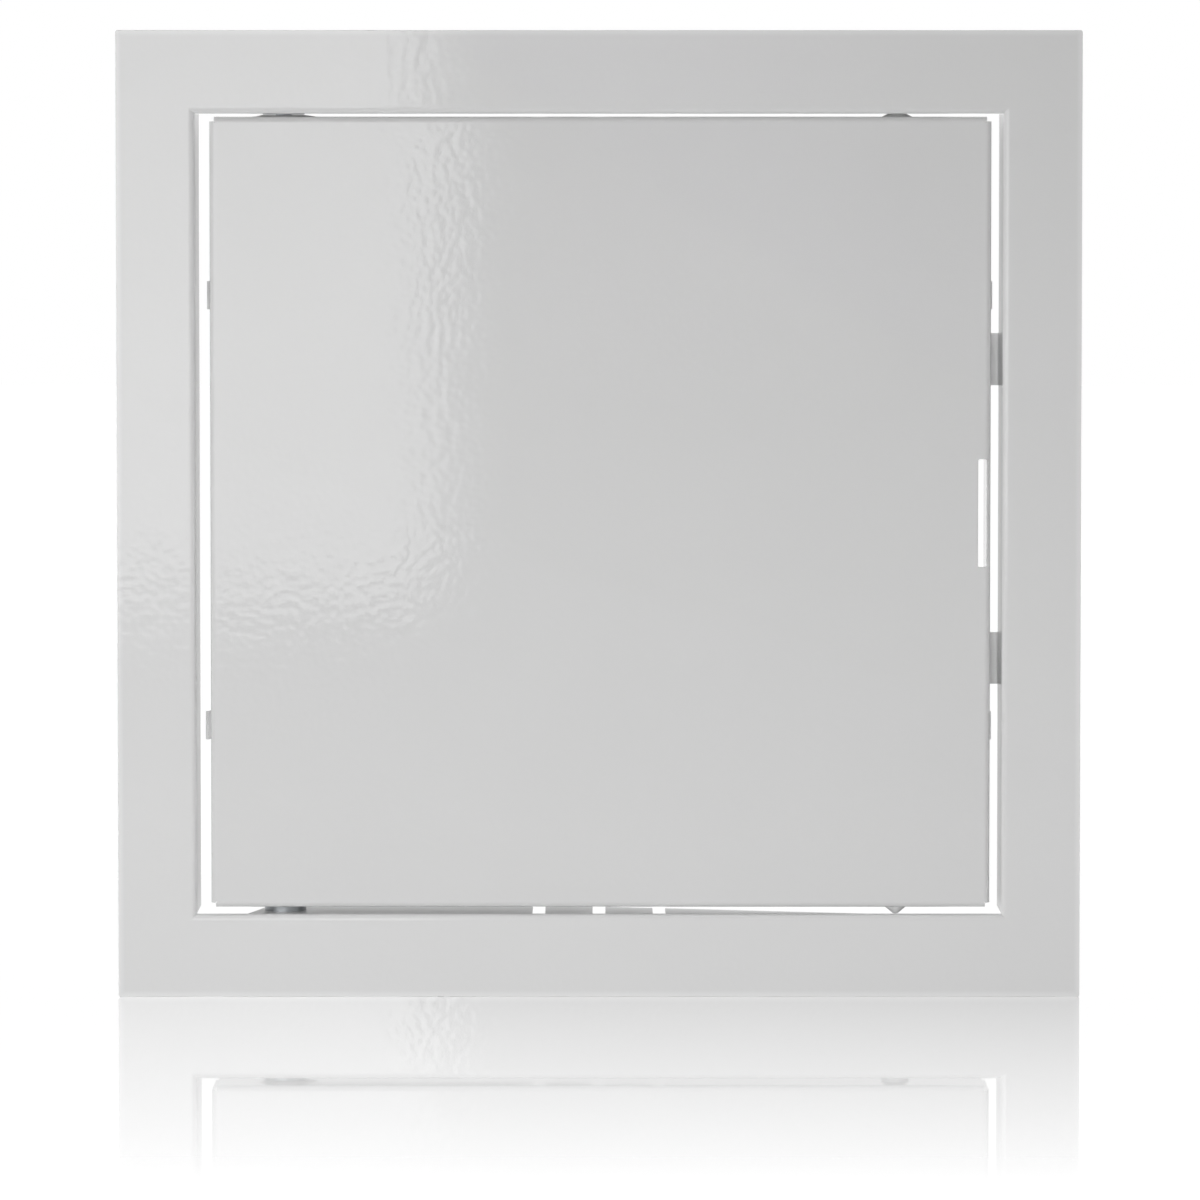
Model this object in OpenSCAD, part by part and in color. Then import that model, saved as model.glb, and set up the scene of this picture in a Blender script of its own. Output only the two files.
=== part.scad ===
// Access panel for a ceiling or a wall: a one-piece sheet frame and a hinged tray door.
// X runs to the right, Z runs up and Y runs back into the board; the face looks along -Y.
// The origin is the middle of the cut-out, in the plane of the flange's back face.
// All sizes are in millimetres.

/* [Frame] */
// Overall width of the flange
frame_w = 239; // [225:0.5:260]
// Overall height of the flange
frame_h = 240; // [225:0.5:260]
// Clear width between the collar's side walls
clear_w = 200; // [190:0.2:210]
// Clear height between the collar's upper and lower walls
clear_h = 198.8; // [190:0.2:210]
// Depth of the collar behind the flange's back face
collar_d = 19; // [17:0.5:26]
// Thickness of the sheet, the same for the frame and the door
sheet_t = 0.7; // [0.5:0.05:1]
// Outside radius of the bend between the flange and the collar
frame_bend = 1.45; // [1.2:0.05:2.5]
// Radius of the flange's outer corners
corner_r = 0.5; // [0.3:0.1:4]
// How far the side walls stop short of the corners
side_gap = 0.15; // [0.1:0.05:2]
// How far the ends of the side walls run in for each millimetre of depth
side_rake = 0; // [0:0.05:0.5]
// How far the upper and lower walls stop short of the corners
end_gap = 12.6; // [8:0.2:15]
// How far the ends of the upper and lower walls run in for each millimetre of depth
end_rake = 0.26; // [0:0.02:0.4]
// How far the back edges of the upper and lower walls lean out at the latch end
latch_splay = 2.55; // [0:0.05:3.2]
// Place along the upper and lower walls where they begin to lean out, measured from the middle
splay_x = -8; // [-20:0.5:10]

/* [Door] */
// Gap between the door and the collar on the hinge side
gap_hinge = 3.6; // [3.4:0.05:5]
// Gap between the door and the collar on the latch side
gap_latch = 2.9; // [2:0.05:4]
// Gap between the door and the collar's upper wall
gap_top = 0.75; // [0.7:0.05:2]
// Gap between the door and the collar's lower wall
gap_bottom = 1.75; // [1.2:0.05:3]
// Outside radius of the bend round the door's face
door_bend = 1.45; // [1.2:0.05:2.5]
// Side of the square notch at each corner of the door, beyond the sheet's thickness
notch_extra = 0.45; // [0.1:0.05:0.8]
// Height of the pull slot
pull_h = 26.8; // [20:0.2:40]
// Width of the pull slot
pull_w = 2.1; // [1.5:0.1:5]
// Width of the strip left between the pull slot and the door's edge
pull_inset = 1; // [0.8:0.05:2]
// Radius of the pull slot's corners
pull_r = 0.4; // [0.2:0.05:0.7]

/* [Hinge] */
// Distance of the hinge's axis from the door's hinge-side edge
hinge_inset = 18; // [16:0.25:18.5]
// Distance of the hinge's axis behind the flange's back face
hinge_y = 10; // [9.5:0.25:10.5]
// Diameter of the rivet's shank
rivet_d = 4; // [3:0.1:5]
// Diameter of the rivet's head
rivet_head_d = 7.2; // [6:0.1:8]
// Height of the rivet's head
rivet_head_h = 1.3; // [0.8:0.1:2]
// Diameter of the raised seat round each hinge hole of the door, at its foot
seat_d = 16.6; // [15:0.1:17]
// Height of the raised seat round each hinge hole of the door
seat_h = 0.4; // [0.2:0.05:0.5]
// Diameter of the spacer between the collar and the door
spacer_d = 10.4; // [8:0.1:12]
// Diameter of the washer inside the door's flange
washer_d = 9; // [8:0.1:12]
// Thickness of the washer inside the door's flange
washer_t = 0.8; // [0.5:0.1:1.5]
// Radial clearance of the door's hole round the rivet
run_clear = 0.08; // [0.04:0.01:0.1]
// Radial clearance of the other holes round the rivet
hole_clear = 0.06; // [0.03:0.01:0.1]
// End play on each side of the door's flange
end_play = 0.1; // [0.05:0.05:0.3]

/* [Catch and stops] */
// Distance of the catch dimples from the door's latch-side edge
catch_inset = 23; // [18:0.5:30]
// Diameter of a catch dimple at its base
dimple_d = 7.6; // [6:0.1:9]
// Diameter of a catch dimple at its tip
dimple_tip = 1.1; // [0.8:0.1:2]
// Distance left between a dimple's tip and the collar's wall
dimple_clear = 0.2; // [0.15:0.05:0.6]
// Diameter of the catch hole in the collar's wall
catch_d = 3.2; // [2.6:0.1:4.5]
// Width of a stop tab on the latch-side wall
stop_w = 13; // [8:0.5:20]
// Distance between the middles of the two stop tabs
stop_pitch = 75; // [50:1:100]
// How far a stop tab reaches in from the wall
stop_reach = 6; // [5:0.25:9]
// Inside radius of the bend at a stop tab's root
stop_bend = 0.5; // [0.3:0.05:1]
// Distance between the closed door's back edge and the stop tabs
stop_clear = 0.3; // [0.1:0.05:0.6]

/* [Fixing slots and spring tongues] */
// Width of a fixing slot
slot_w = 3.2; // [2.5:0.1:5]
// Distance between neighbouring fixing slots
slot_pitch = 15; // [10:0.5:25]
// Number of fixing slots in each of the upper and lower walls
slot_n = 3; // [1:1:5]
// Distance of the closed end of a fixing slot behind the flange's back face
slot_y = 0.9; // [0.8:0.1:4]
// Width of a spring tongue cut from the door's side flanges
tongue_w = 7; // [5:0.5:10]
// Distance between the middles of two tongues on one side flange
tongue_pitch = 107.5; // [90:0.5:130]
// Length of a spring tongue
tongue_l = 6; // [4:0.5:8]
// Distance of a tongue's root from the flange's back edge
tongue_root = 2.5; // [2:0.25:5]
// Angle by which the upper tongue on the hinge side springs out
tongue_angle_upper = 12; // [6:1:22]
// Angle by which the lower tongue on the hinge side springs out
tongue_angle_lower = 18; // [6:1:22]
// Angle by which the two tongues on the latch side spring out
tongue_angle_latch = 8; // [6:1:18]

/* [Hidden] */
$fn = 64;
eps = 0.01;
sheet_colour = [0.82, 0.82, 0.83];
zinc_colour = [0.62, 0.63, 0.65];

// Door, seen from the front
door_x0 = -clear_w / 2 + gap_hinge;
door_x1 = clear_w / 2 - gap_latch;
door_z0 = -clear_h / 2 + gap_bottom;
door_z1 = clear_h / 2 - gap_top;
door_w = door_x1 - door_x0;
door_h = door_z1 - door_z0;
door_cx = (door_x0 + door_x1) / 2;
door_cz = (door_z0 + door_z1) / 2;
notch = sheet_t + notch_extra;

// Depths behind the flange's back face
stop_y = collar_d + stop_bend;
door_back = stop_y - stop_clear;

// Axes that the frame and the door share
hinge_x = door_x0 + hinge_inset;
catch_x = door_x1 - catch_inset;
catch_y = hinge_y;
rivet_r = rivet_d / 2;

// Upper and lower walls: where the bend ends, the latch end and the lean at the catch
wall_front = frame_bend - sheet_t;
wall_half = clear_w / 2 - end_gap;
wall_run = (collar_d - wall_front) * end_rake;
function splay(x) = latch_splay * max(0, (x - splay_x) / (wall_half - splay_x));
catch_splay = splay(catch_x) * (catch_y - wall_front) / (collar_d - wall_front);

// Turns a drawing of the face, with its front along +Z, so that the front looks along -Y.
module stand() {
    rotate([90, 0, 0])
        children();
}

// Flat rectangle with round corners, centred.
module round_rect(w, h, r) {
    square([w - 2 * r, h], center = true);
    square([w, h - 2 * r], center = true);
    for (sx = [-1, 1], sy = [-1, 1])
        translate([sx * (w / 2 - r), sy * (h / 2 - r)])
            circle(r);
}

// Quarter of a ring, outer radius r and wall t, in the corner where both coordinates are negative.
module quarter_ring(r, t) {
    intersection() {
        difference() {
            circle(r);
            circle(r - t);
        }
        translate([-r - 1, -r - 1])
            square(r + 1);
    }
}

// One bend of the frame, along X, with the clear opening above it, mitred to the next bends.
// The opening's edge is y = 0 and the front of the sheet is z = sheet_t.
module frame_lip(l) {
    b = frame_bend;
    half = l / 2 + eps;
    intersection() {
        translate([-l, -b, sheet_t - b])
            rotate([90, 0, 90])
                mirror([1, 0, 0])
                    mirror([0, 1, 0])
                        linear_extrude(2 * l)
                            quarter_ring(b, sheet_t);
        translate([0, 0, -collar_d])
            linear_extrude(2 * collar_d)
                polygon([[-half, 0], [half, 0], [half + b + eps, -b - eps], [-half - b - eps, -b - eps]]);
    }
}

// Side wall of the collar, along X, whose inner face is y = 0.
module side_wall(l) {
    half = l / 2 - side_gap;
    run = (collar_d - wall_front) * side_rake;
    rotate([90, 0, 0])
        linear_extrude(sheet_t)
            polygon([[-half, -wall_front + eps], [half, -wall_front + eps], [half, -wall_front],
                     [half - run, -collar_d], [run - half, -collar_d], [-half, -wall_front]]);
}

// Upper or lower wall of the collar, along X, whose inner face is y = 0 at the hinge end.
// From splay_x on it leans out more and more, up to latch_splay at the latch end's back edge.
module end_wall() {
    n = 12;
    tail = wall_half - wall_run;
    front = concat([-wall_half], [for (i = [0 : n]) splay_x + (wall_half - splay_x) * i / n]);
    back = concat([-tail], [for (i = [0 : n]) splay_x + (tail - splay_x) * i / n]);
    last = len(front) - 1;
    points = [for (i = [0 : last])
                  for (p = [[front[i], 0, eps - wall_front], [back[i], -splay(back[i]), -collar_d],
                            [back[i], -splay(back[i]) - sheet_t, -collar_d],
                            [front[i], -sheet_t, eps - wall_front]]) p];
    faces = concat([[3, 2, 1, 0], [4 * last, 4 * last + 1, 4 * last + 2, 4 * last + 3]],
                   [for (i = [0 : last - 1])
                        for (f = [[0, 1, 5], [0, 5, 4], [2, 3, 7], [2, 7, 6], [1, 2, 6, 5], [3, 0, 4, 7]])
                            [for (k = f) 4 * i + k]]);
    polyhedron(points, faces);
}

// Stop tab bent in from the back edge of the latch-side wall, drawn with that wall along X.
module stop_tab() {
    r = stop_bend + sheet_t;
    translate([-stop_w / 2, stop_bend, -collar_d])
        rotate([90, 0, 90])
            linear_extrude(stop_w)
                quarter_ring(r, sheet_t);
    translate([-stop_w / 2, stop_bend - eps, -collar_d - r])
        cube([stop_w, stop_reach - stop_bend, sheet_t]);
}

// Slot through the upper and lower walls, open at their back edges.
module fixing_slot(x) {
    h = clear_h + 4 * sheet_t + 2 * latch_splay;
    translate([x - slot_w / 2, slot_y, -h / 2])
        cube([slot_w, collar_d, h]);
}

// Flange, four mitred bends, four walls and two stop tabs, all of one sheet.
module frame() {
    deep = clear_h + 4 * sheet_t + 2 * latch_splay;
    color(sheet_colour)
        difference() {
            stand() {
                linear_extrude(sheet_t)
                    difference() {
                        round_rect(frame_w, frame_h, corner_r);
                        square([clear_w + 2 * frame_bend - 2 * eps, clear_h + 2 * frame_bend - 2 * eps],
                               center = true);
                    }
                for (side = [0, 1, 2, 3]) {
                    l = side % 2 == 0 ? clear_w : clear_h;
                    d = side % 2 == 0 ? clear_h : clear_w;
                    rotate(90 * side)
                        translate([0, -d / 2, 0]) {
                            frame_lip(l);
                            if (side % 2 == 1)
                                side_wall(l);
                        }
                }
                for (m = [0, 1])
                    mirror([0, m, 0])
                        translate([0, -clear_h / 2, 0])
                            end_wall();
                rotate(90)
                    translate([door_cz, -clear_w / 2, 0])
                        for (s = [-1, 1])
                            translate([s * stop_pitch / 2, 0, 0])
                                stop_tab();
            }
            translate([hinge_x, hinge_y, 0])
                cylinder(r = rivet_r + hole_clear, h = deep, center = true);
            translate([catch_x, catch_y, 0])
                cylinder(d = catch_d, h = deep, center = true);
            for (i = [0 : slot_n - 1])
                fixing_slot((i - (slot_n - 1) / 2) * slot_pitch);
        }
}

// One edge of the door, along X: the bend and the flange behind it.
// The flange's outer face is y = 0, the door lies above it and the front of the sheet is z = sheet_t.
module door_edge(l) {
    b = door_bend;
    half = l / 2 - 0.1;
    intersection() {
        translate([-l, b, sheet_t - b])
            rotate([90, 0, 90])
                mirror([0, 1, 0])
                    linear_extrude(2 * l)
                        quarter_ring(b, sheet_t);
        translate([0, 0, -door_back])
            linear_extrude(2 * door_back)
                polygon([[-half, 0], [half, 0], [half - b - eps, b + eps], [b + eps - half, b + eps]]);
    }
    translate([notch - l / 2, 0, -door_back])
        cube([l - 2 * notch, sheet_t, door_back - b + sheet_t + eps]);
}

// Window in a side flange that a spring tongue is cut from, drawn like door_edge().
module tongue_window() {
    translate([-tongue_w / 2 - 0.4, -1, tongue_root - door_back])
        cube([tongue_w + 0.8, sheet_t + 2, tongue_l + 0.4]);
}

// Spring tongue that stands out of a side flange, with its root at the back and its free end in front.
module tongue(angle) {
    translate([-tongue_w / 2, 0, tongue_root - door_back])
        rotate([angle, 0, 0])
            translate([0, 0, -0.6])
                cube([tongue_w, sheet_t, tongue_l + 0.6]);
}

// Pressed dimple on a flange whose outer face is z = 0, h high.
module dimple(h) {
    r = dimple_d / 2;
    rotate_extrude()
        polygon([[0, -sheet_t / 2], [r, -sheet_t / 2], [r, 0], [dimple_tip / 2, h], [0, h]]);
}

// Hollow inside a dimple of the same height, a sheet's thickness within its cone.
module dimple_hollow(h) {
    slope = (dimple_d - dimple_tip) / 2 / h;
    r = dimple_d / 2 - sheet_t * sqrt(1 + slope * slope);
    tip = 0.12;
    rotate_extrude()
        polygon([[0, -sheet_t - 1], [r + slope * sheet_t, -sheet_t - 1], [r + slope * sheet_t, -sheet_t],
                 [tip, (r - tip) / slope], [0, (r - tip) / slope]]);
}

// Raised seat round a hinge hole, on a flange whose outer face is z = 0.
module hinge_seat() {
    rotate_extrude()
        polygon([[0, -sheet_t / 2], [seat_d / 2, -sheet_t / 2], [seat_d / 2, 0],
                 [spacer_d / 2 + 0.3, seat_h], [0, seat_h]]);
}

// Hollow under a raised seat.
module seat_hollow() {
    rotate_extrude()
        polygon([[0, -sheet_t - 1], [seat_d / 2 - 0.1, -sheet_t - 1], [seat_d / 2 - 0.1, -sheet_t],
                 [spacer_d / 2 + 0.2, seat_h - sheet_t], [0, seat_h - sheet_t]]);
}

// Places something on the outer face of the door's upper flange, or the lower one, at x and y.
module on_flange(x, y, upper) {
    translate([x, y, upper ? door_z1 : door_z0])
        mirror([0, 0, upper ? 0 : 1])
            children();
}

// Face, four flanges with notched corners, four spring tongues, two hinge seats, two dimples
// and the pull slot, of one sheet.
module door_panel() {
    h = [gap_bottom + catch_splay - dimple_clear, gap_top + catch_splay - dimple_clear];
    color(sheet_colour)
        difference() {
            union() {
                stand()
                    translate([door_cx, door_cz, 0]) {
                        linear_extrude(sheet_t)
                            square([door_w - 2 * door_bend + 2 * eps, door_h - 2 * door_bend + 2 * eps],
                                   center = true);
                        for (side = [0, 1, 2, 3]) {
                            l = side % 2 == 0 ? door_w : door_h;
                            d = side % 2 == 0 ? door_h : door_w;
                            rotate(90 * side)
                                translate([0, -d / 2, 0]) {
                                    difference() {
                                        door_edge(l);
                                        if (side % 2 == 1)
                                            for (s = [-1, 1])
                                                translate([s * tongue_pitch / 2, 0, 0])
                                                    tongue_window();
                                    }
                                    if (side % 2 == 1)
                                        for (s = [-1, 1])
                                            translate([s * tongue_pitch / 2, 0, 0])
                                                tongue(side == 1 ? tongue_angle_latch
                                                       : s == 1 ? tongue_angle_lower : tongue_angle_upper);
                                }
                        }
                    }
                for (k = [0, 1]) {
                    on_flange(catch_x, catch_y, k == 1)
                        dimple(h[k]);
                    on_flange(hinge_x, hinge_y, k == 1)
                        hinge_seat();
                }
            }
            for (k = [0, 1]) {
                on_flange(catch_x, catch_y, k == 1)
                    dimple_hollow(h[k]);
                on_flange(hinge_x, hinge_y, k == 1)
                    seat_hollow();
            }
            translate([hinge_x, hinge_y, door_cz])
                cylinder(r = rivet_r + run_clear, h = door_h + 2, center = true);
            for (sx = [-1, 1], sz = [-1, 1])
                translate([door_cx + sx * door_w / 2, 0, door_cz + sz * door_h / 2])
                    cube([2 * notch, 2 * door_bend, 2 * notch], center = true);
            stand()
                translate([door_x1 - pull_inset - pull_w / 2, door_cz, -door_bend])
                    linear_extrude(sheet_t + door_bend + 1)
                        round_rect(pull_w, pull_h, pull_r);
        }
}

// Rivet seen from the collar's inner face, z = 0, with its head outside the wall at +Z.
module hinge_rivet(gap) {
    head_r = rivet_head_d / 2;
    tail_r = rivet_r * 1.55;
    seat = -(gap + sheet_t + end_play + washer_t);
    tail_h = rivet_r * 0.55;
    color(zinc_colour)
        rotate_extrude()
            polygon([[0, seat - tail_h], [tail_r * 0.82, seat - tail_h], [tail_r, seat - tail_h * 0.5],
                     [tail_r, seat], [rivet_r, seat], [rivet_r, sheet_t], [head_r, sheet_t],
                     [head_r, sheet_t + rivet_head_h * 0.35], [head_r * 0.86, sheet_t + rivet_head_h * 0.72],
                     [head_r * 0.55, sheet_t + rivet_head_h], [0, sheet_t + rivet_head_h]]);
}

// Spacer that fills the gap between the collar and the door, less the end play.
module hinge_spacer(gap) {
    color(zinc_colour)
        translate([0, 0, end_play - gap])
            difference() {
                cylinder(d = spacer_d, h = gap - end_play);
                translate([0, 0, -1])
                    cylinder(r = rivet_r + hole_clear, h = gap + 2);
            }
}

// Washer between the door's flange and the rivet's tail.
module rivet_washer(gap) {
    color(zinc_colour)
        translate([0, 0, -gap - sheet_t - end_play - washer_t])
            difference() {
                cylinder(d = washer_d, h = washer_t);
                translate([0, 0, -1])
                    cylinder(r = rivet_r + hole_clear, h = washer_t + 2);
            }
}

// Places a hinge piece on the collar's upper wall.
module at_upper() {
    translate([hinge_x, hinge_y, clear_h / 2])
        children();
}

// Places a hinge piece on the collar's lower wall.
module at_lower() {
    translate([hinge_x, hinge_y, -clear_h / 2])
        mirror([0, 0, 1])
            children();
}

module upper_hinge_rivet() {
    at_upper()
        hinge_rivet(gap_top - seat_h);
}

module lower_hinge_rivet() {
    at_lower()
        hinge_rivet(gap_bottom - seat_h);
}

module upper_hinge_spacer() {
    at_upper()
        hinge_spacer(gap_top - seat_h);
}

module lower_hinge_spacer() {
    at_lower()
        hinge_spacer(gap_bottom - seat_h);
}

module upper_rivet_washer() {
    at_upper()
        rivet_washer(gap_top - seat_h);
}

module lower_rivet_washer() {
    at_lower()
        rivet_washer(gap_bottom - seat_h);
}

frame();
door_panel();
upper_hinge_rivet();
lower_hinge_rivet();
upper_hinge_spacer();
lower_hinge_spacer();
upper_rivet_washer();
lower_rivet_washer();
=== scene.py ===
# %% [markdown]
# An access panel, dressed for the camera.
# The panel is two folded sheets on two riveted pivots, and the solids already have its true shape.
# So this lesson adds no stand-ins: it gives each sheet and each hinge piece its real finish,
# then sets up the floor, the light and the camera that show that finish.

# %% Load the solids
import math

import bpy
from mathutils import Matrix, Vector


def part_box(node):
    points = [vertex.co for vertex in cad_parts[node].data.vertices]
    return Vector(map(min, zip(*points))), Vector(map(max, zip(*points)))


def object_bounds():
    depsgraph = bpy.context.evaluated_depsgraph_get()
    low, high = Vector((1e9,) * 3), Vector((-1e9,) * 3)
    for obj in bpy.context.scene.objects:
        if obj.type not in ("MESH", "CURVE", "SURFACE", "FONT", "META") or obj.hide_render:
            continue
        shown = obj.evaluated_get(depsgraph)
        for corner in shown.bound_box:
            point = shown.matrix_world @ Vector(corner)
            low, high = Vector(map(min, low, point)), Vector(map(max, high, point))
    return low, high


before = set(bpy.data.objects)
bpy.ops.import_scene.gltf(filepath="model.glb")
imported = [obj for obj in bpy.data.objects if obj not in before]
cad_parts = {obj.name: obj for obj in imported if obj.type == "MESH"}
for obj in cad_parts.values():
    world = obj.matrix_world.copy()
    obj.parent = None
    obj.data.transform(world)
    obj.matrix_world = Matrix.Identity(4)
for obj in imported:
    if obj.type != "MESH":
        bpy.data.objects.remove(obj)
cad_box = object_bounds()
low, high = cad_box
print("solids:", sorted(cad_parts))
print("box in mm:", [round(1000 * (b - a), 1) for a, b in zip(low, high)])

# %% [markdown]
# Two small helpers serve every material below.
# Colours are written as sRGB hex values, the way a colour card gives them, but a shader works in linear
# light, so one function turns the one into the other.
# The other function adds a shader node, sets its values and joins its inputs in one call.

# %% Helpers for colour and nodes
MM = 0.001


def linear(hex_colour):
    parts = [int(hex_colour[i:i + 2], 16) / 255 for i in (1, 3, 5)]
    return [p / 12.92 if p <= 0.04045 else ((p + 0.055) / 1.055) ** 2.4 for p in parts] + [1.0]


def add(tree, kind, settings=None, values=None, links=None):
    node = tree.nodes.new(kind)
    for name, value in (settings or {}).items():
        setattr(node, name, value)
    for socket, value in (values or {}).items():
        node.inputs[socket].default_value = value
    for socket, source in (links or {}).items():
        tree.links.new(source, node.inputs[socket])
    return node


def new_material(name):
    material = bpy.data.materials.new(name)
    material.use_nodes = True
    material.node_tree.nodes.clear()
    return material, material.node_tree


print("white reads", [round(c, 3) for c in linear("#FFFFFF")])

# %% [markdown]
# The sheets are mild steel under a gloss polyester powder coat, sprayed as dry powder and melted in an oven.
# The melted powder never levels quite flat. It keeps a fine ripple called orange peel, of cells 1.6 mm wide
# and a few micrometres high. The door's broad face takes more powder than the narrow flange, so its ripple
# is the higher one. The thin sheet under the coat is slightly wavy as well, over some 70 mm.
# Neither can be seen as a shape. Both show only where a reflection ends, as a ragged, crawling edge.
# Two bumps of those wavelengths and very small heights give that, so no geometry is needed for it.
# Powder is drawn to an outer edge, so the coat is rounder there, and a painted highlight lightens the colour
# along the flange's rim.
# Spray reaches the inside of a collar less well than the face, so behind the bends the coat is half matt.
# Behind the bends and on the back the colour is painted lighter too, as painted light in the shaded collar.
# The face is flat and looks along -Y, so the depth behind it is enough to tell the two places apart.

# %% Powder-coated steel
PEEL_MM = 1.6
WAVE_MM, WAVE_HEIGHT_MM = 70.0, 0.5
CLOUD_MM, CLOUD_DARKEST, CLOUD_LIGHTEST = 35.0, 0.985, 1.012
GLOSSIEST, DULLEST = 0.04, 0.06
# The rim numbers give the width and strength of a painted highlight along the flange's outer rim.
EDGE_MM, RIM_HIGHLIGHT_MM, RIM_HIGHLIGHT_SHARE = 0.2, 1.5, 0.3
FACE_ENDS_MM, INSIDE_STARTS_MM = -0.55, 0.5
# This lighter colour is painted light: it lifts the shaded collar and back, and it makes the painted rim
# highlight.
PAINTED_LIGHT_COLOUR = "#EAEAEA"
POLYESTER_IOR = 1.5


def painted_rim_highlight(tree, split, node):
    """Painted highlight: how near a point is to the node's outer edge as seen from the front, 0 to
    RIM_HIGHLIGHT_SHARE.
    """
    ends = []
    for axis, letter in ((0, "X"), (2, "Z")):
        lowest, highest = (corner[axis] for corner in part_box(node))
        off = add(tree, "ShaderNodeMath", {"operation": "SUBTRACT"}, {1: (lowest + highest) / 2},
                  {0: split.outputs[letter]})
        out = add(tree, "ShaderNodeMath", {"operation": "ABSOLUTE"}, None, {0: off.outputs[0]})
        half = (highest - lowest) / 2
        ends.append(add(tree, "ShaderNodeMapRange", None,
                        {"From Min": half - RIM_HIGHLIGHT_MM * MM, "From Max": half, "To Max": RIM_HIGHLIGHT_SHARE},
                        {"Value": out.outputs[0]}))
    nearer = add(tree, "ShaderNodeMath", {"operation": "MAXIMUM"}, None,
                 {0: ends[0].outputs["Result"], 1: ends[1].outputs["Result"]})
    return nearer.outputs[0]


def powder_coat(name, node, hex_colour, inside_roughness, peel_height_mm, seed):
    material, tree = new_material(name)
    place = add(tree, "ShaderNodeTexCoord")
    peel = add(tree, "ShaderNodeTexNoise", {"noise_dimensions": "4D"},
               {"Scale": 1 / (PEEL_MM * MM), "Detail": 0.0, "W": seed},
               {"Vector": place.outputs["Object"]})
    wave = add(tree, "ShaderNodeTexNoise", {"noise_dimensions": "4D"},
               {"Scale": 1 / (WAVE_MM * MM), "Detail": 0.0, "W": seed + 5},
               {"Vector": place.outputs["Object"]})
    soft = add(tree, "ShaderNodeBevel", {"samples": 4}, {"Radius": EDGE_MM * MM})
    wavy = add(tree, "ShaderNodeBump", None, {"Strength": 1.0, "Distance": WAVE_HEIGHT_MM * MM},
               {"Height": wave.outputs["Fac"], "Normal": soft.outputs["Normal"]})
    rippled = add(tree, "ShaderNodeBump", None, {"Strength": 1.0, "Distance": peel_height_mm * MM},
                  {"Height": peel.outputs["Fac"], "Normal": wavy.outputs["Normal"]})
    cloud = add(tree, "ShaderNodeTexNoise", {"noise_dimensions": "4D"},
                {"Scale": 1 / (CLOUD_MM * MM), "Detail": 2.0, "W": seed + 9},
                {"Vector": place.outputs["Object"]})
    base = linear(hex_colour)
    tint = add(tree, "ShaderNodeMix", {"data_type": "RGBA"},
               {"A": [c * CLOUD_DARKEST for c in base[:3]] + [1],
                "B": [c * CLOUD_LIGHTEST for c in base[:3]] + [1]},
               {"Factor": cloud.outputs["Fac"]})
    gloss = add(tree, "ShaderNodeMapRange", None, {"To Min": GLOSSIEST, "To Max": DULLEST},
                {"Value": cloud.outputs["Fac"]})
    split = add(tree, "ShaderNodeSeparateXYZ", None, None, {"Vector": place.outputs["Object"]})
    depth = add(tree, "ShaderNodeMapRange", None,
                {"From Min": FACE_ENDS_MM * MM, "From Max": INSIDE_STARTS_MM * MM},
                {"Value": split.outputs["Y"]})
    dry = add(tree, "ShaderNodeMix", {"data_type": "FLOAT"}, {"B": inside_roughness},
              {"Factor": depth.outputs["Result"], "A": gloss.outputs["Result"]})
    # Painted light: the colour is lightened inside the shaded collar, on the back and along the outer rim.
    painted_light_share = add(tree, "ShaderNodeMath", {"operation": "MAXIMUM"}, None,
                 {0: depth.outputs["Result"], 1: painted_rim_highlight(tree, split, node)})
    with_painted_light = add(tree, "ShaderNodeMix", {"data_type": "RGBA"}, {"B": linear(PAINTED_LIGHT_COLOUR)},
                {"Factor": painted_light_share.outputs[0], "A": tint.outputs["Result"]})
    shader = add(tree, "ShaderNodeBsdfPrincipled", None, {"IOR": POLYESTER_IOR},
                 {"Base Color": with_painted_light.outputs["Result"], "Roughness": dry.outputs["Result"],
                  "Normal": rippled.outputs["Normal"]})
    add(tree, "ShaderNodeOutputMaterial", None, None, {"Surface": shader.outputs["BSDF"]})
    return material


# The eye gets a clean white gloss that mirrors what stands in front of it, with a ragged edge.
frame_coat = powder_coat("gloss_powder_coat_frame", "frame", "#C8C8C8", 0.25, 0.029, 18.0)
door_coat = powder_coat("gloss_powder_coat_door", "door_panel", "#C5C5C5", 0.1, 0.034, 19.0)
print("coats:", frame_coat.name, door_coat.name)

# %% [markdown]
# The rivets, spacers and washers are steel with a bright zinc plate.
# Zinc is a cool grey metal. Barrel plating leaves it slightly clouded, with tiny knocks all over,
# so its highlights are soft and a little broken.

# %% Zinc-plated steel
ZINC_CLOUD_MM = 1.8
KNOCK_MM, KNOCK_HEIGHT_MM, KNOCK_STRENGTH = 0.35, 0.01, 0.4
ZINC_GLOSSIEST, ZINC_DULLEST = 0.3, 0.45


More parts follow.
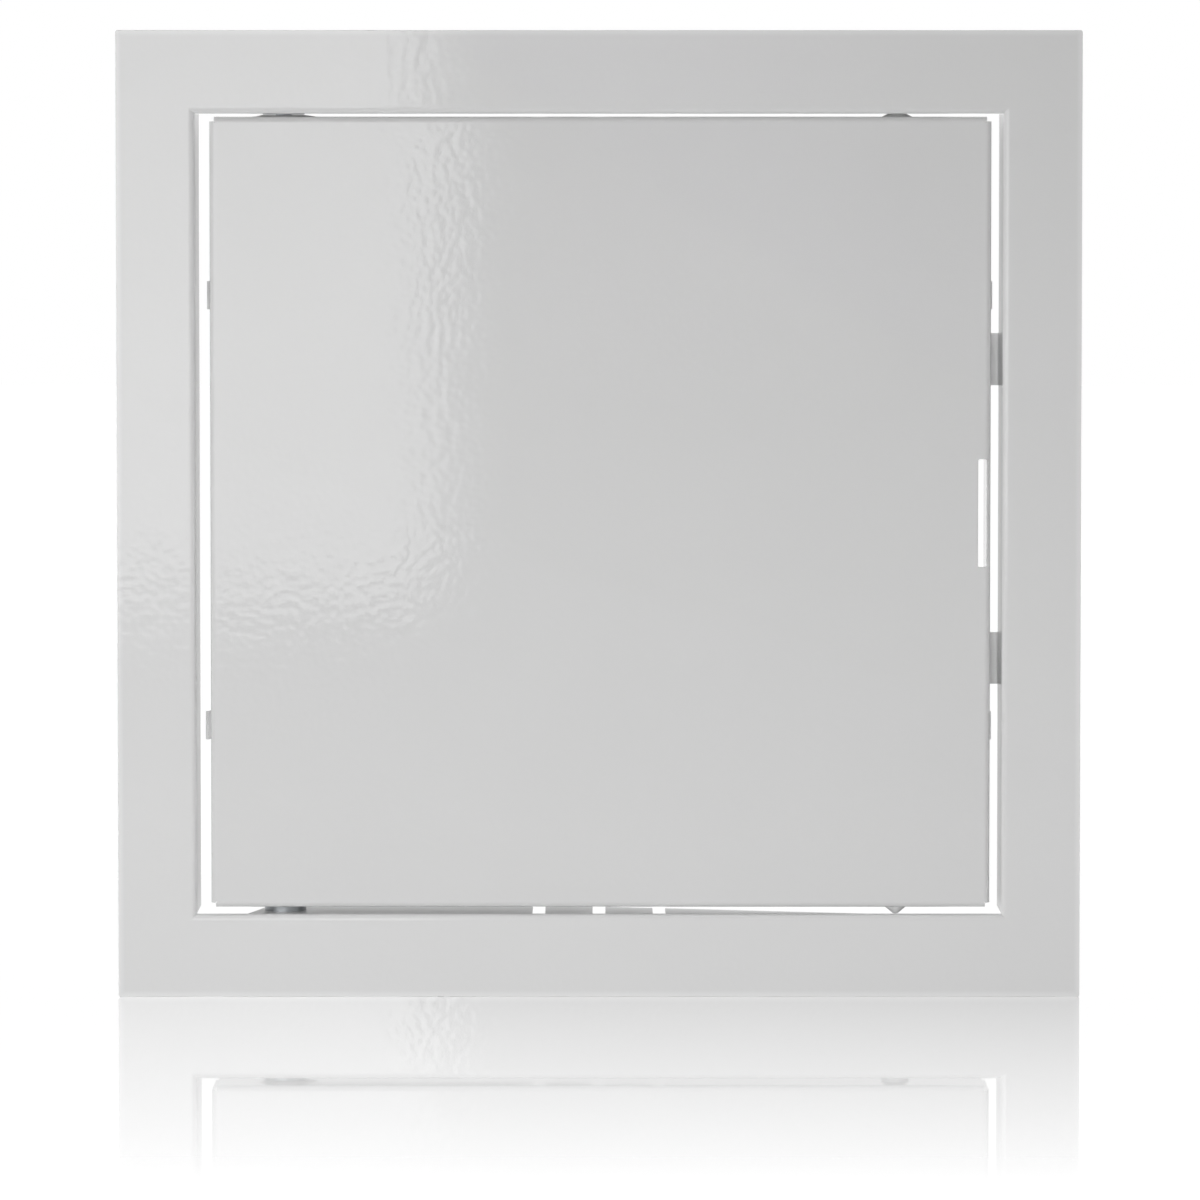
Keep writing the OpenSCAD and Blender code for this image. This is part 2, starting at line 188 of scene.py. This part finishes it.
def zinc_plate(name):
    material, tree = new_material(name)
    place = add(tree, "ShaderNodeTexCoord")
    cloud = add(tree, "ShaderNodeTexNoise", None, {"Scale": 1 / (ZINC_CLOUD_MM * MM), "Detail": 3.0},
                {"Vector": place.outputs["Object"]})
    knocks = add(tree, "ShaderNodeTexNoise", None, {"Scale": 1 / (KNOCK_MM * MM), "Detail": 1.0},
                 {"Vector": place.outputs["Object"]})
    bump = add(tree, "ShaderNodeBump", None,
               {"Strength": KNOCK_STRENGTH, "Distance": KNOCK_HEIGHT_MM * MM},
               {"Height": knocks.outputs["Fac"]})
    tint = add(tree, "ShaderNodeMix", {"data_type": "RGBA"},
               {"A": linear("#8E9194"), "B": linear("#AEB1B4")}, {"Factor": cloud.outputs["Fac"]})
    gloss = add(tree, "ShaderNodeMapRange", None, {"To Min": ZINC_GLOSSIEST, "To Max": ZINC_DULLEST},
                {"Value": cloud.outputs["Fac"]})
    shader = add(tree, "ShaderNodeBsdfPrincipled", None, {"Metallic": 1.0},
                 {"Base Color": tint.outputs["Result"], "Roughness": gloss.outputs["Result"],
                  "Normal": bump.outputs["Normal"]})
    add(tree, "ShaderNodeOutputMaterial", None, None, {"Surface": shader.outputs["BSDF"]})
    return material


# The eye gets a cool, cloudy grey with soft highlights, quite unlike the coat.
zinc = zinc_plate("zinc_plated_steel")
print("plate:", zinc.name)

# %% [markdown]
# Each solid keeps its own mesh and only changes its material.
# Bends should shade as one smooth curve and the sheet's edges as hard corners. Marking every face smooth
# and every edge over 30 degrees sharp gives both, without touching a single point.

# %% Dress the solids
COATS = {"frame": frame_coat, "door_panel": door_coat}
SHARP_DEG = 30
for name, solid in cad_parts.items():
    solid.data.materials.clear()
    solid.data.materials.append(COATS.get(name, zinc))
    solid.data.shade_smooth()
    solid.data.set_sharp_from_angle(angle=math.radians(SHARP_DEG))
    print(name, "wears", solid.data.materials[0].name, "on", len(solid.data.polygons), "faces")

# %% [markdown]
# The panel stands on a white acrylic sheet, which mirrors its foot.
# The mirror image is strongest where the panel touches down and is gone 34 cm in front of it or behind it,
# so the gloss is mixed in by the distance from the panel's face.
# The rest of the floor is white by its own light, with a matt share that still takes a shadow.
# The gloss coat mirrors it as plain white, which keeps a second image of the lamps out of the lower flange,
# and the light that it throws up onto the panel is that of a mid grey sheet.

# %% White acrylic floor
FLOOR_M = 8
MIRROR_REACH_M, MIRROR_SHARE, MIRROR_ROUGHNESS = 0.34, 0.84, 0.02
FLOOR_GLOW = 0.98


def acrylic_floor(z):
    bpy.ops.mesh.primitive_plane_add(size=FLOOR_M, location=(0, 0, z))
    floor = bpy.context.object
    floor.name = "acrylic_floor"
    material, tree = new_material("white_acrylic")
    place = add(tree, "ShaderNodeTexCoord")
    split = add(tree, "ShaderNodeSeparateXYZ", None, None, {"Vector": place.outputs["Object"]})
    away = add(tree, "ShaderNodeMath", {"operation": "ABSOLUTE"}, None, {0: split.outputs["Y"]})
    fade = add(tree, "ShaderNodeMapRange", None,
               {"From Min": 0.0, "From Max": MIRROR_REACH_M, "To Min": MIRROR_SHARE, "To Max": 0.0},
               {"Value": away.outputs[0]})
    matt = add(tree, "ShaderNodeBsdfDiffuse", None, {"Color": linear("#454545")})
    glow = add(tree, "ShaderNodeEmission", None, {"Strength": FLOOR_GLOW})
    lit = add(tree, "ShaderNodeAddShader", None, None, {0: matt.outputs[0], 1: glow.outputs[0]})
    plain = add(tree, "ShaderNodeEmission", None, {"Strength": 1.0})
    bounce = add(tree, "ShaderNodeBsdfDiffuse", None, {"Color": linear("#949494")})
    ray = add(tree, "ShaderNodeLightPath")
    unseen = add(tree, "ShaderNodeMixShader", None, None,
                 {0: ray.outputs["Is Glossy Ray"], 1: bounce.outputs[0], 2: plain.outputs[0]})
    white = add(tree, "ShaderNodeMixShader", None, None,
                {0: ray.outputs["Is Camera Ray"], 1: unseen.outputs[0], 2: lit.outputs[0]})
    mirror = add(tree, "ShaderNodeBsdfGlossy", None,
                 {"Color": linear("#FFFFFF"), "Roughness": MIRROR_ROUGHNESS})
    share = add(tree, "ShaderNodeMath", {"operation": "MULTIPLY"}, None,
                {0: fade.outputs["Result"], 1: ray.outputs["Is Camera Ray"]})
    surface = add(tree, "ShaderNodeMixShader", None, None,
                  {0: share.outputs[0], 1: white.outputs[0], 2: mirror.outputs[0]})
    add(tree, "ShaderNodeOutputMaterial", None, None, {"Surface": surface.outputs[0]})
    floor.data.materials.append(material)


acrylic_floor(low[2])
print("floor at", round(1000 * low[2], 1), "mm")

# %% [markdown]
# Behind everything is a plain white sweep.
# The camera, and any mirror image, sees it as pure white, while the light that it sheds on the panel is
# held lower, so that the coat's grey renders about as it is written.
# A sweep hangs behind the object. So nearly all of that light comes from behind, where it fills the collar
# and shows the panel's back, and only a trace comes from the camera's side.

# %% White sweep
LIGHT_IN_FRONT, LIGHT_BEHIND = 0.03, 0.95
BEHIND_STARTS, BEHIND_FULL = -0.2, 0.3
world = bpy.data.worlds.new("white_sweep")
bpy.context.scene.world = world
world.use_nodes = True
world.node_tree.nodes.clear()
ray = add(world.node_tree, "ShaderNodeLightPath")
direct = add(world.node_tree, "ShaderNodeMath", {"operation": "MAXIMUM"}, None,
             {0: ray.outputs["Is Camera Ray"], 1: ray.outputs["Is Glossy Ray"]})
seen = add(world.node_tree, "ShaderNodeMath", {"operation": "MAXIMUM"}, None,
           {0: direct.outputs[0], 1: ray.outputs["Is Transmission Ray"]})
backdrop = add(world.node_tree, "ShaderNodeBackground", None, {"Color": linear("#FFFFFF"), "Strength": 1.0})
place = add(world.node_tree, "ShaderNodeTexCoord")
split = add(world.node_tree, "ShaderNodeSeparateXYZ", None, None, {"Vector": place.outputs["Generated"]})
behind = add(world.node_tree, "ShaderNodeMapRange", None,
             {"From Min": BEHIND_STARTS, "From Max": BEHIND_FULL,
              "To Min": LIGHT_IN_FRONT, "To Max": LIGHT_BEHIND},
             {"Value": split.outputs["Y"]})
ambient = add(world.node_tree, "ShaderNodeBackground", None, {"Color": linear("#FFFFFF")},
              {"Strength": behind.outputs["Result"]})
sweep = add(world.node_tree, "ShaderNodeMixShader", None, None,
            {0: seen.outputs[0], 1: ambient.outputs[0], 2: backdrop.outputs[0]})
add(world.node_tree, "ShaderNodeOutputWorld", None, None, {"Surface": sweep.outputs[0]})
print("sweep set")

# %% [markdown]
# The view is square on and a little from above, through a long lens, as catalogue pictures are taken.
# Sizes on the picture are kept in pixels of a 1200 pixel frame: the flange is 964 of them wide, and its
# middle sits above the frame's own middle, which the lens shift looks after.

# %% Camera
FRAME_PX = 1200
FLANGE_PX = 964
DISTANCE = 1.8
SENSOR_MM = 36
RISE = math.radians(3.2)
MIDDLE_PX = (599.0, 515.2)

middle = Vector(((low[0] + high[0]) / 2, low[1], (low[2] + high[2]) / 2))
view_width = (high[0] - low[0]) * FRAME_PX / FLANGE_PX
lens = bpy.data.cameras.new("long_lens")
lens.sensor_width = SENSOR_MM
lens.lens = SENSOR_MM * DISTANCE / view_width
lens.shift_x = (FRAME_PX / 2 - MIDDLE_PX[0]) / FRAME_PX
lens.shift_y = (MIDDLE_PX[1] - FRAME_PX / 2) / FRAME_PX
camera = bpy.data.objects.new("camera", lens)
camera.location = middle + DISTANCE * Vector((0, -math.cos(RISE), math.sin(RISE)))
camera.rotation_euler = (math.pi / 2 - RISE, 0, 0)
bpy.context.scene.collection.objects.link(camera)
bpy.context.scene.camera = camera
print("lens", round(lens.lens, 1), "mm, shift", round(lens.shift_x, 4), round(lens.shift_y, 4))

# %% [markdown]
# One big softbox stands to the left, between the camera and the panel, and the gloss coat mirrors it.
# Its right and lower edges are placed so that their mirror images fall across the door where they should:
# a flat mirror shows a point of the softbox plane where the line from the camera's mirror image crosses it.
# It reaches far to the left as well, where only the rounded bends can mirror it.

# %% Softbox
SOFTBOX_Y = -1.2
WIDE, TALL, RADIANCE = 1.2, 0.36, 2.5
EDGE_PX = (435, 597)


def mirrored(px):
    on_panel = Vector(((px[0] - MIDDLE_PX[0]) * view_width / FRAME_PX, 0,
                       (MIDDLE_PX[1] - px[1]) * view_width / FRAME_PX)) + middle
    step = (SOFTBOX_Y - middle.y) / (camera.location.y - middle.y)
    away = on_panel - camera.location
    return on_panel.x + step * away.x, on_panel.z + step * away.z


def soft_light(name, middle_at, size, target, power, mirrored_in_gloss):
    data = bpy.data.lights.new(name, "AREA")
    data.shape = "RECTANGLE"
    data.size, data.size_y = size
    data.energy = power
    lamp = bpy.data.objects.new(name, data)
    lamp.location = middle_at
    lamp.rotation_euler = (Vector(target) - Vector(middle_at)).to_track_quat("-Z", "Y").to_euler()
    lamp.visible_camera = False
    lamp.visible_glossy = mirrored_in_gloss
    bpy.context.scene.collection.objects.link(lamp)
    return lamp


right, bottom = mirrored(EDGE_PX)
softbox_at = (right - WIDE / 2, SOFTBOX_Y, bottom + TALL / 2)
softbox = soft_light("softbox", softbox_at, (WIDE, TALL),
                     (softbox_at[0], 0, softbox_at[2]), RADIANCE * math.pi * WIDE * TALL, True)
print("softbox's right edge", round(1000 * right), "mm, lower edge", round(1000 * bottom), "mm")

# %% [markdown]
# The softbox's tube hangs high, so its cloth is dimmer towards the lower edge and that edge shows less.
# A lamp takes shader nodes as a material does, so the height of a point on the cloth sets its strength.

# %% Dim the cloth
DIM_BAND_M, DIM_SHARE = 0.11, 0.74
softbox.data.use_nodes = True
cloth = softbox.data.node_tree
cloth.nodes.clear()
place = add(cloth, "ShaderNodeNewGeometry")
split = add(cloth, "ShaderNodeSeparateXYZ", None, None, {"Vector": place.outputs["Position"]})
dimmed = add(cloth, "ShaderNodeMapRange", None,
             {"From Min": bottom, "From Max": bottom + DIM_BAND_M, "To Min": DIM_SHARE, "To Max": 1.0},
             {"Value": split.outputs["Z"]})
glow = add(cloth, "ShaderNodeEmission", None, None, {"Strength": dimmed.outputs["Result"]})
add(cloth, "ShaderNodeOutputLight", None, None, {"Surface": glow.outputs[0]})
print("the cloth's lower edge gives", DIM_SHARE, "of its light")

# %% [markdown]
# Four plainer lamps set the levels, and the gloss coat mirrors none of them.
# The fill sits at the camera, so whatever the camera sees in a gap is lit as well.
# The two side lights shape the upright bends, the left one more than the right one.
# The card lies low in front of the panel and lifts its foot, as light from a white table top does.

# %% Fill, side lights and card
CARD_X, CARD_Y = -0.07, -0.36
CARD_RAISED, CARD_AIM_DROP = 0.006, 0.13
fill = soft_light("fill", camera.location, (0.25, 0.25), middle, 11.7, False)
left_light = soft_light("left_light", (-1.15, -0.6, 0.15), (0.3, 0.8), middle, 4.0, False)
right_light = soft_light("right_light", (1.3, -0.42, 0.15), (0.3, 0.8), middle, 1.5, False)
card = soft_light("bounce_card", (CARD_X, CARD_Y, low[2] + CARD_RAISED), (0.6, 0.008),
                  (CARD_X, 0, low[2] - CARD_AIM_DROP), 0.78, False)
print("lamps:", [(lamp.name, lamp.data.energy) for lamp in (fill, left_light, right_light, card)])

# %% [markdown]
# Last, the picture settings stay plain.

# %% Finish
bpy.context.scene.view_settings.view_transform = "Standard"
